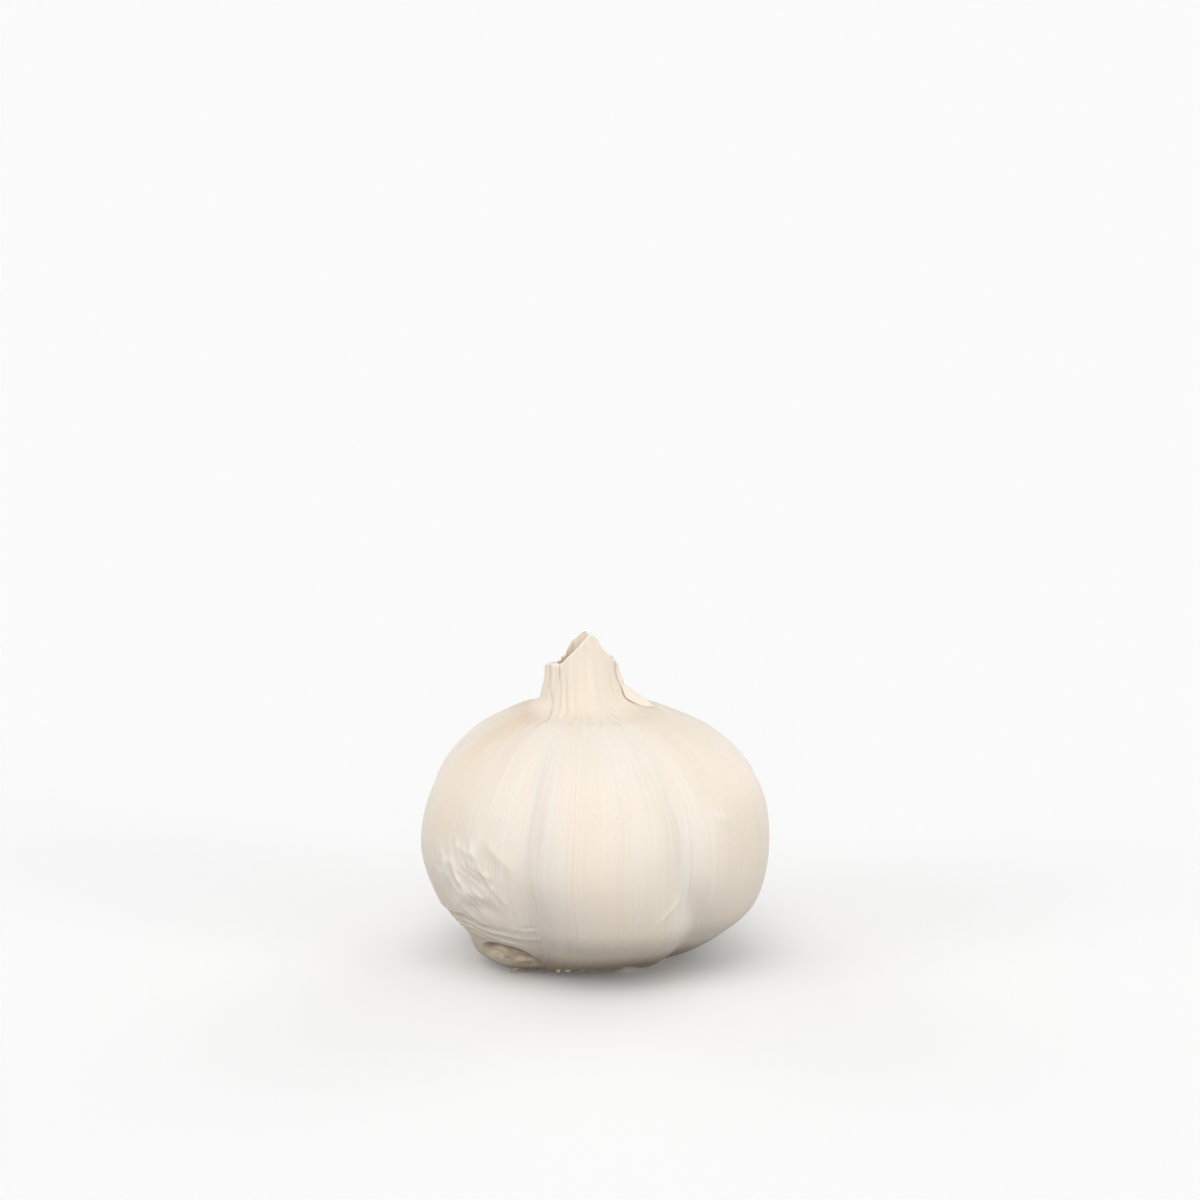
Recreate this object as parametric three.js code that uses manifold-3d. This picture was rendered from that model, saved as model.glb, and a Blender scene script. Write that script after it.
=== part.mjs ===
// A garlic bulb that stands on its root plate, with its dried neck cut off slantwise.
// Millimetres, +Z up. The origin is the middle of the root plate's flat underside.
// An azimuth is in degrees round the bulb: 0 is the front (-Y) and 90 the right (+X).

import * as THREE from "three";
import { mergeVertices } from "three/addons/utils/BufferGeometryUtils.js";
import Module from "manifold-3d";

const wasm = await Module();
wasm.setup();

// Driving dimensions
const bulbRadius = 29; // half the width across the cloves
const shoulderHeight = 44; // from the floor to the foot of the neck
const plateRadius = 11.5;
const plateDepth = 2.3;
const neckHalfWidth = 6; // at the neck's low, left end
const neckLow = 49.1; // height of the cut at its left end
const neckTip = 54.3; // height of the point where the cut ends
const neckRight = 48.9; // height of the torn right side
const wallThickness = 0.7; // of the neck round its open pocket
const sheetThickness = 0.6; // of a loose sheet of dried skin
const gap = 0.3; // between neighbouring pieces

// The outline from the root plate's recess to the neck: radius as a share of bulbRadius, height as a share
// of shoulderHeight, how far the ring's middle stands to the right in millimetres, and how deep the furrows
// between the cloves are there.
const outline = [
  [0.41, 0.059, 0, 0],
  [0.42, 0.041, 0.1, 0.3],
  [0.5, 0.025, 0.5, 0.8],
  [0.64, 0.047, 1.8, 1.3],
  [0.77, 0.123, 3.9, 1.5],
  [0.922, 0.236, 4.5, 1.4],
  [1.005, 0.443, 4.1, 1.0],
  [0.943, 0.66, 4.3, 0.85],
  [0.74, 0.82, 3.8, 0.6],
  [0.475, 0.918, 3.0, 0.3],
  [0.33, 0.948, 2.6, 0.1],
  [0.25, 0.98, 2.1, 0],
  [0.225, 1.025, 1.9, 0],
  [0.208, 1.07, 1.8, 0],
  [neckHalfWidth / bulbRadius, neckLow / shoulderHeight, 1.8, 0],
];
const lastRow = outline.length - 1;
// How many rings of the surface lie between one row of the outline and the next.
const ringsPerRow = [1, 2, 2, 3, 3, 4, 4, 4, 3, 2, 2, 2, 2, 2];

// The cloves: azimuth of the furrow where each starts, how far it bends round towards the foot, its depth,
// and how much lower the clove's foot reaches.
const cloves = [
  { start: -24, bend: 2, furrow: 1.15, foot: -0.5 },
  { start: 31, bend: 15, furrow: 1.25, foot: 0 },
  { start: 96, bend: 6, furrow: 1.5, foot: 0.3 },
  { start: 140, bend: -4, furrow: 1.8, foot: -0.3 },
  { start: 182, bend: 3, furrow: 1.6, foot: 0.2 },
  { start: 224, bend: -3, furrow: 1.8, foot: -0.1 },
  { start: 264, bend: 5, furrow: 1.4, foot: 0.5 },
];
const bendTop = 20; // the height up to which the furrows bend
const furrowNarrowing = 2.2;
// At the front right one clove's foot reaches lower than the skin round it.
const lowFoot = { azimuth: 38, halfAngle: 7, drop: 0.8 };

// The neck is a flattened tube: its depth is a share of its width, less towards the tip.
const flattening = { from: 41, to: 56, share: 0.52 };
const tipNarrowing = 0.16;
// The slanted cut, by the sine of the azimuth: it rises from start to a rounded tip and then falls. At the back
// it has only a share of that rise.
const cut = { start: -0.6, tip: Math.sin((21 * Math.PI) / 180), rounding: 0.8, backShare: 0.45 };
const neckRow = 10; // the row of the outline where the neck starts
const pleats = { count: 20, from: 41.5, to: 46, depth: 0.24, flatSide: 20, frontShare: 0.15 };

// The place at the lower left where the outer skin is torn away, fading out to the right, and a hollow in it,
// below a curved lip that is given by azimuth and height.
const tear = { left: -100, fade: [-58, -30], fadeShare: 0.2, right: -22, height: 10.6, depth: 0.6, edge: 1.1 };
const hollow = { foot: 1.2, depth: 1 };
const hollowLip = [
  [-60, 4.2],
  [-54, 5.2],
  [-48, 6.3],
  [-43, 6.6],
  [-36, 6.3],
  [-32, 5.6],
  [-27, 4],
  [-22, 2.6],
];

// The open pocket in the neck: its floor, and the row of the outline that it lies at.
const pocketRow = 12;
const pocketFloor = 45;

const columns = 120;
const degree = Math.PI / 180;

const smooth = THREE.MathUtils.smoothstep;
const mix = THREE.MathUtils.lerp;

// A smooth curve through the rows of the outline. A row is any number from 0 to lastRow.
function outlineAt(row) {
  const i = THREE.MathUtils.clamp(Math.floor(row), 0, lastRow - 1);
  const f = row - i;
  return outline[0].map((_, k) => {
    const b = outline[i][k];
    const c = outline[i + 1][k];
    const a = i > 0 ? outline[i - 1][k] : 2 * b - c;
    const d = i + 2 <= lastRow ? outline[i + 2][k] : 2 * c - b;
    const pull = 2 * a - 5 * b + 4 * c - d;
    return b + 0.5 * f * (c - a + f * (pull + f * (3 * (b - c) + d - a)));
  });
}

// The clove at an azimuth and height: how deep the skin lies in its furrows, and how much lower its foot
// reaches.
function cloveAt(azimuth, height) {
  const low = 1 - smooth(height, 0, bendTop);
  const starts = cloves.map((clove) => clove.start + clove.bend * low);
  const turned = THREE.MathUtils.euclideanModulo(azimuth - starts[0], 360) + starts[0];
  const next = starts.findIndex((start) => start > turned);
  const k = next < 0 ? cloves.length - 1 : next - 1;
  const after = (k + 1) % cloves.length;
  const end = next < 0 ? starts[0] + 360 : starts[next];
  const along = (turned - starts[k]) / (end - starts[k]);
  const valley = 0.5 * (1 - Math.cos(Math.PI * Math.abs(2 * along - 1) ** furrowNarrowing));
  const depth = mix(cloves[k].furrow, cloves[after].furrow, along) * valley;
  return { depth, foot: cloves[k].foot * (1 - valley) };
}

// The height of the neck's cut edge at an azimuth.
function rimHeight(azimuth) {
  const side = Math.sin(azimuth * degree);
  const slope = neckLow + ((neckTip - neckLow) * (side - cut.start)) / (cut.tip - cut.start);
  const rising = Math.max(neckLow, slope);
  const falling = neckTip - ((neckTip - neckRight) * (side - cut.tip)) / (1 - cut.tip);
  const near = THREE.MathUtils.clamp(0.5 + (0.5 * (falling - rising)) / cut.rounding, 0, 1);
  const front = mix(falling, rising, near) - cut.rounding * near * (1 - near);
  const back = 1 - smooth(Math.cos(azimuth * degree), -0.6, 0.5);
  return front - back * (1 - cut.backShare) * Math.max(0, front - neckLow);
}

// How far the neck's uneven folds lie in: most on the left and at the back, least on the flat front.
function pleatDepth(azimuth) {
  const turn = azimuth * degree;
  const front = 0.5 + 0.5 * Math.cos(turn - pleats.flatSide * degree);
  const uneven = 0.7 + 0.3 * Math.sin(3 * turn + 2);
  const strength = mix(1, pleats.frontShare, smooth(front, 0.3, 0.95)) * uneven;
  const phase = pleats.count * turn + 1.2 * Math.sin(2 * turn + 1) + 0.6 * Math.sin(5 * turn);
  return pleats.depth * strength * (1 - Math.cos(phase));
}

// The height of the hollow's lip at an azimuth.
function lipHeight(azimuth) {
  const [first, last] = [hollowLip[0], hollowLip.at(-1)];
  const x = THREE.MathUtils.clamp(azimuth, first[0], last[0]);
  const k = Math.max(1, hollowLip.findIndex((point) => point[0] >= x));
  const [before, after] = [hollowLip[k - 1], hollowLip[k]];
  return mix(before[1], after[1], (x - before[0]) / (after[0] - before[0]));
}

// How far the surface lies in where the outer skin is torn away, with the hollow under the clove's foot.
function tearDepth(azimuth, height) {
  const turned = THREE.MathUtils.euclideanModulo(azimuth + 180, 360) - 180;
  const fading = mix(1, tear.fadeShare, smooth(turned, ...tear.fade));
  const start = smooth(turned, tear.left - 8, tear.left + 8) * fading;
  const end = 1 - smooth(turned, tear.right - 1.5, tear.right + 0.5);
  const torn = start * end * (1 - smooth(height, tear.height - tear.edge, tear.height));
  const lip = lipHeight(turned);
  const down = (lip - height) / (lip - hollow.foot);
  const ends = smooth(turned, -60, -50) * (1 - smooth(turned, -30, -22));
  const sunk = ends * smooth(down, 0, 0.3) * (1 - smooth(down, 0.3, 1.05));
  return tear.depth * torn + hollow.depth * sunk;
}

// A point of the bulb's skin, at an azimuth and a row of the outline. inset moves it inwards.
function skinPoint(azimuth, row, inset = 0) {
  const [radiusShare, heightShare, lean, furrowShare] = outlineAt(row);
  const clove = cloveAt(azimuth, heightShare * shoulderHeight);
  const footPart = smooth(row, 0.6, 2) * (1 - smooth(row, 2, 5));
  const turned = THREE.MathUtils.euclideanModulo(azimuth + 180, 360) - 180;
  const lower = Math.exp(-(((turned - lowFoot.azimuth) / lowFoot.halfAngle) ** 2));
  const drop = lowFoot.drop * lower * smooth(row, 2, 3) * (1 - smooth(row, 3.2, 4.6));
  const level = heightShare * shoulderHeight - clove.foot * footPart - drop;
  const height = level + (rimHeight(azimuth) - neckLow) * smooth(row, neckRow, lastRow);
  let radius = radiusShare * bulbRadius - furrowShare * clove.depth;
  radius *= 1 - (tipNarrowing * Math.max(0, height - neckLow)) / (neckTip - neckLow);
  radius -= tearDepth(azimuth, height) * smooth(row, 1, 2);
  radius -= pleatDepth(azimuth) * smooth(height, pleats.from, pleats.to);
  const depthShare = 1 - flattening.share * smooth(height, flattening.from, flattening.to);
  const x = lean + (radius - inset) * Math.sin(azimuth * degree);
  const y = -(radius * depthShare - inset) * Math.cos(azimuth * degree);
  return new THREE.Vector3(x, y, height);
}

// A closed surface through rings of points, bottom first, closed at both ends by a point.
function surfaceOfRings(rings, bottom, top) {
  const width = rings[0].length;
  const points = [bottom, ...rings.flat(), top];
  const at = (ring, j) => 1 + ring * width + (j % width);
  const index = [];
  for (let j = 0; j < width; j++) {
    index.push(0, at(0, j + 1), at(0, j));
    for (let i = 0; i + 1 < rings.length; i++) {
      index.push(at(i, j), at(i, j + 1), at(i + 1, j + 1));
      index.push(at(i, j), at(i + 1, j + 1), at(i + 1, j));
    }
    index.push(points.length - 1, at(rings.length - 1, j), at(rings.length - 1, j + 1));
  }
  return new THREE.BufferGeometry().setFromPoints(points).setIndex(index);
}

// A ring of points, one for each azimuth.
function ringOf(count, pointAt) {
  return Array.from({ length: count }, (_, j) => pointAt((j * 360) / count));
}

// A thin sheet with its middle surface at pointAt(u, v), both from 0 to 1.
function sheetSolid(uSteps, vSteps, thickness, pointAt) {
  const small = 1e-3;
  const sides = [0.5, -0.5].map((share) => {
    const points = [];
    for (let i = 0; i <= uSteps; i++) {
      for (let j = 0; j <= vSteps; j++) {
        const [u, v] = [i / uSteps, j / vSteps];
        const alongU = pointAt(u + small, v).sub(pointAt(u - small, v));
        const alongV = pointAt(u, v + small).sub(pointAt(u, v - small));
        const normal = alongU.cross(alongV).normalize();
        points.push(pointAt(u, v).addScaledVector(normal, share * thickness));
      }
    }
    return points;
  });
  const half = sides[0].length;
  const at = (side, i, j) => side * half + i * (vSteps + 1) + j;
  const index = [];
  const quad = (a, b, c, d) => index.push(a, b, c, a, c, d);
  for (let i = 0; i < uSteps; i++) {
    for (let j = 0; j < vSteps; j++) {
      quad(at(0, i, j), at(0, i + 1, j), at(0, i + 1, j + 1), at(0, i, j + 1));
      quad(at(1, i, j), at(1, i, j + 1), at(1, i + 1, j + 1), at(1, i + 1, j));
    }
    quad(at(0, i, 0), at(1, i, 0), at(1, i + 1, 0), at(0, i + 1, 0));
    quad(at(0, i + 1, vSteps), at(1, i + 1, vSteps), at(1, i, vSteps), at(0, i, vSteps));
  }
  for (let j = 0; j < vSteps; j++) {
    quad(at(0, 0, j + 1), at(1, 0, j + 1), at(1, 0, j), at(0, 0, j));
    quad(at(0, uSteps, j), at(1, uSteps, j), at(1, uSteps, j + 1), at(0, uSteps, j + 1));
  }
  return new THREE.BufferGeometry().setFromPoints(sides.flat()).setIndex(index);
}

// The cloves in their tight skin, with the neck's outermost sheath, grown as one. A recess below holds the
// root plate, and a pocket in the neck holds the inner sheaths.
function bulbGeometry() {
  const rows = ringsPerRow.flatMap((count, row) => Array.from({ length: count }, (_, k) => row + k / count));
  const outside = [...rows, lastRow].map((row) => ringOf(columns, (azimuth) => skinPoint(azimuth, row)));
  const inside = [lastRow, lastRow - 1, pocketRow].map((row) =>
    ringOf(columns, (azimuth) => skinPoint(azimuth, row, wallThickness)),
  );
  inside.at(-1).forEach((point) => point.setZ(pocketFloor));
  const recessMiddle = new THREE.Vector3(0, 0, plateDepth + gap);
  const pocketMiddle = new THREE.Vector3(outline.at(-1)[2], 0, pocketFloor);
  return surfaceOfRings([...outside, ...inside], recessMiddle, pocketMiddle);
}

// A point inside the neck at a share of the way from the pocket's floor to above the cut edge, set inwards.
function neckPoint(azimuth, share, inset, above) {
  const point = skinPoint(azimuth, mix(pocketRow + 0.3, lastRow, share), inset);
  return point.setZ(mix(pocketFloor + gap, skinPoint(azimuth, lastRow).z + above, share));
}

// A second sheath inside the neck, round its back and left, which stands a little above the cut.
const sheath = { from: 118, to: 318, above: 0.7 };

function neckSheathGeometry() {
  const inset = wallThickness + gap + sheetThickness / 2 + 0.05;
  return sheetSolid(28, 5, sheetThickness, (u, v) =>
    neckPoint(mix(sheath.from, sheath.to, u), v, inset, sheath.above),
  );
}

// The torn outer skin on the neck's right side: it bridges the corner between neck and shoulder, is fast at
// the back and stands open towards the front. The rows are those of the outline.
const flap = { front: 66, back: 134, lowRow: 9.75, cornerRow: 11.2, highFrontRow: 13.8, highBackRow: 12.4 };
const flapStand = 0.7; // at its front edge

// A point off the bulb's skin, by an amount outwards and an amount upwards.
function offPoint(azimuth, row, outwards, upwards) {
  return skinPoint(azimuth, row, -outwards).add(new THREE.Vector3(0, 0, upwards));
}

function skinFlapGeometry() {
  const clear = gap + sheetThickness / 2 + 0.05;
  return sheetSolid(14, 8, sheetThickness, (u, v) => {
    const azimuth = mix(flap.front, flap.back, u);
    const open = flapStand * (1 - u);
    const low = offPoint(azimuth, flap.lowRow, clear / 2, clear);
    const corner = offPoint(azimuth, flap.cornerRow, clear + open, clear / 2);
    const high = offPoint(azimuth, mix(flap.highFrontRow, flap.highBackRow, u), clear + 0.2 * open, 0);
    return low.lerp(corner, v).lerp(corner.lerp(high, v), v);
  });
}

// The same random numbers in each run, from 0 to 1.
function seededRandom(seed) {
  let state = seed;
  return () => {
    state = (state * 16807) % 2147483647;
    return state / 2147483647;
  };
}

// The plate's outline is not quite round.
function plateEdge(azimuth) {
  const oval = 0.025 * (1 + Math.cos(2 * azimuth * degree + 1));
  return plateRadius * (1 - oval - 0.012 * Math.cos(5 * azimuth * degree));
}

// The corky disc that the cloves and the roots grow from, flat below, with shallow rays. A row of its outline
// is a share of the radius, a height, and how much of the rays' depth is there.
const rays = { count: 24, depth: 0.3 };
const plateOutline = [
  [0.25, 0, 0],
  [0.5, 0, 1],
  [0.88, 0, 1],
  [0.96, 0.25, 0],
  [1, 0.8, 0],
  [0.985, plateDepth, 0],
];

function plateGeometry() {
  const around = 72;
  const rings = plateOutline.map(([share, height, rayShare]) =>
    ringOf(around, (azimuth) => {
      const turn = azimuth * degree;
      const radius = share * plateEdge(azimuth);
      const lift = rayShare * rays.depth * 0.5 * (1 - Math.cos(rays.count * turn));
      return new THREE.Vector3(radius * Math.sin(turn), -radius * Math.cos(turn), height + lift);
    }),
  );
  return surfaceOfRings(rings, new THREE.Vector3(0, 0, 0), new THREE.Vector3(0, 0, plateDepth));
}

// A trimmed root: a short tapering stub from inside the plate's edge, outwards and a little down.
function rootStub(azimuth, random) {
  const sunk = 0.9;
  const length = mix(1.5, 2.4, random());
  const radius = mix(0.24, 0.34, random());
  const stub = new THREE.CylinderGeometry(radius * 0.75, radius, length, 5, 1);
  stub.translate(0, length / 2, 0).rotateX(Math.PI);
  const level = mix(0.68, 0.85, random());
  stub.rotateX(mix(3, 8, random()) * degree).rotateZ(mix(-20, 20, random()) * degree);
  return stub.translate(0, sunk - plateEdge(azimuth), level).rotateZ(azimuth * degree);
}

function solidOf(geometry) {
  const bare = geometry.clone();
  bare.deleteAttribute("normal");
  bare.deleteAttribute("uv");
  const merged = mergeVertices(bare, 1e-4);
  const vertProperties = merged.attributes.position.array;
  const triVerts = new Uint32Array(merged.index.array);
  return new wasm.Manifold(new wasm.Mesh({ numProp: 3, vertProperties, triVerts }));
}

function geometryOf(solid) {
  const { vertProperties, triVerts } = solid.getMesh();
  const geometry = new THREE.BufferGeometry();
  geometry.setAttribute("position", new THREE.BufferAttribute(vertProperties, 3));
  return geometry.setIndex(new THREE.BufferAttribute(triVerts, 1));
}

// The root plate with the stubs of its roots round the edge.
function rootPlateGeometry() {
  const random = seededRandom(11);
  const count = 66;
  let solid = solidOf(plateGeometry());
  for (let k = 0; k < count; k++) {
    const azimuth = ((k + mix(-0.3, 0.3, random())) * 360) / count;
    solid = solid.add(solidOf(rootStub(azimuth, random)));
  }
  return geometryOf(solid);
}

const finishes = {
  skin: { color: "#efe4d5", roughness: 0.55 },
  innerSkin: { color: "#e6d2b2", roughness: 0.7 },
  cork: { color: "#dcc39a", roughness: 0.9 },
};

function piece(name, geometry, finish) {
  geometry.computeVertexNormals();
  const material = new THREE.MeshStandardMaterial({ ...finish, metalness: 0 });
  const mesh = new THREE.Mesh(geometry, material);
  mesh.name = name;
  return mesh;
}

const garlic = new THREE.Group();
garlic.add(
  piece("bulb", bulbGeometry(), finishes.skin),
  piece("neck_inner_sheath", neckSheathGeometry(), finishes.innerSkin),
  piece("skin_flap", skinFlapGeometry(), finishes.skin),
  piece("root_plate", rootPlateGeometry(), finishes.cork),
);

export default garlic;
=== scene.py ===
import math
import bpy
import numpy as np
from mathutils import Matrix, Vector


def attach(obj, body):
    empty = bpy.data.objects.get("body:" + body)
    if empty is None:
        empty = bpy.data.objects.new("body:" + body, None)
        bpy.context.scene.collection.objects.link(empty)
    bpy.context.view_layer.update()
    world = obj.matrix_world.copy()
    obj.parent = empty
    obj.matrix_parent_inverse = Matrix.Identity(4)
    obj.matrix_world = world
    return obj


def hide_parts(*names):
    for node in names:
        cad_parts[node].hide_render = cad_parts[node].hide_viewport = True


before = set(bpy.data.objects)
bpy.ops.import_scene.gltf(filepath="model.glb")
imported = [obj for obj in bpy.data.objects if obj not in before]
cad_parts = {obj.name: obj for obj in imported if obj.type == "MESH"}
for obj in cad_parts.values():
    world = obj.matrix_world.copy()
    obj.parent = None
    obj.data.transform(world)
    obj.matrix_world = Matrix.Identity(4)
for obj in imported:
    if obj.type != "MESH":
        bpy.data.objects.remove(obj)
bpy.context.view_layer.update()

mm = 0.001  # shapes are worked out in millimetres, as the part is drawn, and stored in metres


# Small helpers for numbers

# 0 below start, 1 above end, and a smooth step between
def smooth(value, start, end):
    share = np.clip((value - start) / (end - start), 0, 1)
    return share * share * (3 - 2 * share)


# A smooth rise from start to full, and a smooth fall from fading to end
def band(value, start, full, fading, end):
    return smooth(value, start, full) * (1 - smooth(value, fading, end))


# 1 at the middle, and the less the further away, by the square of the distance in half widths
def bell(value, middle, halfWidth):
    return np.exp(-((value - middle) / halfWidth) ** 2)


def mix(first, second, share):
    return first + (second - first) * share


# The highest of several values, point by point
def highest(first, *others):
    for other in others:
        first = np.maximum(first, other)
    return first


# The azimuth as -180 to 180 degrees: 0 at the front, 90 at the right
def fromFront(azimuth):
    return np.mod(azimuth + 180, 360) - 180


# Points round the upright axis
def ringPoints(azimuth, radius, height):
    turn = np.radians(azimuth)
    return np.stack(np.broadcast_arrays(radius * np.sin(turn), -radius * np.cos(turn), height), -1)


# Soft random relief round the bulb: random heights on a lattice that closes on itself round the azimuth,
# joined by smooth steps. around and along are how many cells there are each way, place runs from 0 to 1.
def ringNoise(azimuth, place, around, along, seed):
    lattice = np.random.default_rng(seed).random((along + 2, around)) * 2 - 1
    column = np.mod(azimuth / 360, 1) * around
    line = np.clip(place, 0, 1) * along
    i, j = line.astype(int), column.astype(int) % around
    f, g = smooth(line - i, 0, 1), smooth(column - np.floor(column), 0, 1)
    before, after = lattice[i, j], lattice[i, (j + 1) % around]
    beforeUp, afterUp = lattice[i + 1, j], lattice[i + 1, (j + 1) % around]
    return mix(mix(before, after, g), mix(beforeUp, afterUp, g), f)


# One of a piece's own noises: its dictionary gives cells round, cells along and the seed
def noiseOf(piece, name, azimuth, place=0.0):
    return ringNoise(azimuth, place, *piece["noises"][name])


# The same over a plane, with one cell for each unit of u and v
def planeNoise(u, v, seed, size=64):
    lattice = np.random.default_rng(seed).random((size, size)) * 2 - 1
    i, j = np.floor(u).astype(int), np.floor(v).astype(int)
    f, g = smooth(u - i, 0, 1), smooth(v - j, 0, 1)
    low = mix(lattice[i % size, j % size], lattice[(i + 1) % size, j % size], f)
    high = mix(lattice[i % size, (j + 1) % size], lattice[(i + 1) % size, (j + 1) % size], f)
    return mix(low, high, g)


# The bulb's own form, shared by the skin and by all that lies on it

bulbForm = dict(
    radius=29.0,  # half the width across the cloves
    shoulder=44.0,  # height of the neck's foot
    # rows from the root's recess to the neck: radius share, height share, lean to the right, furrow share
    outline=np.array([
        [0.41, 0.059, 0, 0], [0.42, 0.041, 0.1, 0.3], [0.5, 0.025, 0.5, 0.8], [0.64, 0.047, 1.8, 1.3],
        [0.77, 0.123, 3.9, 1.5], [0.922, 0.236, 4.5, 1.4], [1.005, 0.443, 4.1, 1.0], [0.943, 0.66, 4.3, 0.85],
        [0.74, 0.82, 3.8, 0.6], [0.475, 0.918, 3.0, 0.3], [0.33, 0.948, 2.6, 0.1], [0.25, 0.98, 2.1, 0],
        [0.225, 1.025, 1.9, 0], [0.208, 1.07, 1.8, 0], [6 / 29, 49.1 / 44, 1.8, 0],
    ]),
    # the cloves: start azimuth, bend towards the foot, furrow depth, how much lower the foot reaches
    cloves=np.array([
        [-24, 2, 1.15, -0.5], [31, 15, 1.25, 0], [96, 6, 1.5, 0.3], [140, -4, 1.8, -0.3],
        [182, 3, 1.6, 0.2], [224, -3, 1.8, -0.1], [264, 5, 1.4, 0.5],
    ]),
    bendTop=20.0, furrowNarrowing=2.2,
    footRows=(0.6, 2, 2, 5),  # the band of rows in which a clove's foot reaches lower
    # a sag at the foot of the front right clove
    bumpAzimuth=38.0, bumpHalf=7.0, bumpDrop=0.8, bumpRows=(2, 3, 3.2, 4.6),
    # the slanted cut: heights at the left, the tip and the right, and where the rise and the tip are
    neckLow=49.1, neckTip=54.3, neckRight=48.9, cutStart=-0.6, cutTip=math.sin(math.radians(21)),
    cutRounding=0.8, neckRow=10, tipNarrowing=0.16,
    # the rim at the back: its share of the rise, its drop at the left, and where the back and the left begin
    backShare=0.45, backDrop=1.7, backFrom=(-0.6, 0.5), leftFrom=(-0.5, 0.4),
    flatFrom=41.0, flatTo=56.0, flatShare=0.52,  # heights over which the neck gets flatter
)
lastRow = len(bulbForm["outline"]) - 1

# The tear at the lower left, below which the outer skin is gone, and the hollow under the clove's foot.
# Each group of four is a band: where it sets in, is full, starts to fade and ends.
tear = dict(
    azimuths=(-108, -92, -23.5, -21.5), shallowFrom=(-58, -30), shallowShare=0.2,
    height=10.6, depth=0.5, edge=0.3, rows=(1, 2),
    waves=[(0.35, 0.21), (0.15, 0.9)],  # the edge's waves: height, and radians for each degree
    ragged=0.9, raggedUntil=(-92, -66), noises=dict(ragged=(34, 1, 9)),
    lipAzimuths=[-60, -54, -48, -43, -36, -32, -27, -22], lipHeights=[4.2, 5.2, 6.3, 6.6, 6.3, 5.6, 4.0, 2.6],
    hollowFoot=1.2, hollowDepth=1.15, hollowAzimuths=(-60, -50, -30, -22),
    hollowDown=(0, 0.16, 0.3, 1.05), lipDown=(-0.04, 0.06, 0.14, 0.34),  # from the lip, 0, to the foot, 1
)

# Folds of the neck: uneven narrow ridges on the left and at the back, nearly none on the flat front
pleats = dict(
    count=20, heights=(41.5, 46.0), depth=0.24, flatSide=20.0, frontShare=0.15, frontFrom=(0.3, 0.95),
)


# A smooth curve through the outline's rows: between two rows a cubic whose ends have half the slope from
# the row before to the row after
def outlineAt(row):
    table = bulbForm["outline"]
    padded = np.vstack([2 * table[0] - table[1], table, 2 * table[-1] - table[-2]])
    i = np.clip(np.floor(row).astype(int), 0, lastRow - 1)
    f = (row - i)[..., None]
    a, b, c, d = (padded[i + k] for k in range(4))
    pull = 2 * a - 5 * b + 4 * c - d
    return np.moveaxis(b + 0.5 * f * (c - a + f * (pull + f * (3 * (b - c) + d - a))), -1, 0)


# Depth in the furrows, how much lower the clove's foot is, and the share of being in a furrow: full in a
# furrow and nothing on a clove's back, by half a cosine of the narrowed distance from the clove's middle
def cloveAt(azimuth, height):
    cloves = bulbForm["cloves"]
    low = 1 - smooth(height, 0, bulbForm["bendTop"])
    first = cloves[0, 0] + cloves[0, 1] * low
    turned = np.mod(azimuth - first, 360) + first
    depth, foot, furrow = (np.zeros(turned.shape) for _ in range(3))
    turns = [0] * (len(cloves) - 1) + [360]
    for here, after, turn in zip(cloves, np.roll(cloves, -1, axis=0), turns):
        start, end = here[0] + here[1] * low, after[0] + after[1] * low + turn
        along = (turned - start) / (end - start)
        inside = (along >= 0) & (along < 1)
        nearness = np.abs(2 * np.clip(along, 0, 1) - 1) ** bulbForm["furrowNarrowing"]
        valley = 0.5 * (1 - np.cos(np.pi * nearness))
        depth = np.where(inside, mix(here[2], after[2], along) * valley, depth)
        foot = np.where(inside, here[3] * (1 - valley), foot)
        furrow = np.where(inside, valley, furrow)
    return depth, foot, furrow


# Height of the neck's slanted cut by the way to the right, which is the sine of the azimuth at the rim and
# less inside it: a straight rise and a straight fall that meet in a rounded tip
def cutHeight(side):
    f = bulbForm
    rise = (f["neckTip"] - f["neckLow"]) * (side - f["cutStart"]) / (f["cutTip"] - f["cutStart"])
    rising = np.maximum(f["neckLow"], f["neckLow"] + rise)
    falling = f["neckTip"] - (f["neckTip"] - f["neckRight"]) * (side - f["cutTip"]) / (1 - f["cutTip"])
    near = np.clip(0.5 + 0.5 * (falling - rising) / f["cutRounding"], 0, 1)
    return mix(falling, rising, near) - f["cutRounding"] * near * (1 - near)


# Height of the skin's rim: that cut, with only a share of its rise at the back, and a drop at the back left
def rimHeight(azimuth):
    f = bulbForm
    side = np.sin(np.radians(azimuth))
    front = cutHeight(side)
    back = 1 - smooth(np.cos(np.radians(azimuth)), *f["backFrom"])
    left = 1 - smooth(side, *f["leftFrom"])
    return front - back * ((1 - f["backShare"]) * np.maximum(0, front - f["neckLow"]) + f["backDrop"] * left)


# Three shares: below the tear's wavy edge, which fades to the right, in the hollow, which drops steeply below
# a curved upper lip and comes back slowly, and on that steep drop
def tearShares(azimuth, height):
    t = tear
    turned = fromFront(azimuth)
    side = band(turned, *t["azimuths"]) * mix(1, t["shallowShare"], smooth(turned, *t["shallowFrom"]))
    edge = t["height"] + sum(size * np.sin(turned * rate) for size, rate in t["waves"])
    edge = edge + t["ragged"] * (1 - smooth(turned, *t["raggedUntil"])) * noiseOf(t, "ragged", azimuth, 0.5)
    torn = side * (1 - smooth(height, edge - t["edge"], edge))
    lip = np.interp(turned, t["lipAzimuths"], t["lipHeights"])
    down = (lip - height) / (lip - t["hollowFoot"])
    ends = band(turned, *t["hollowAzimuths"])
    return torn, ends * band(down, *t["hollowDown"]), ends * band(down, *t["lipDown"])


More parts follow.
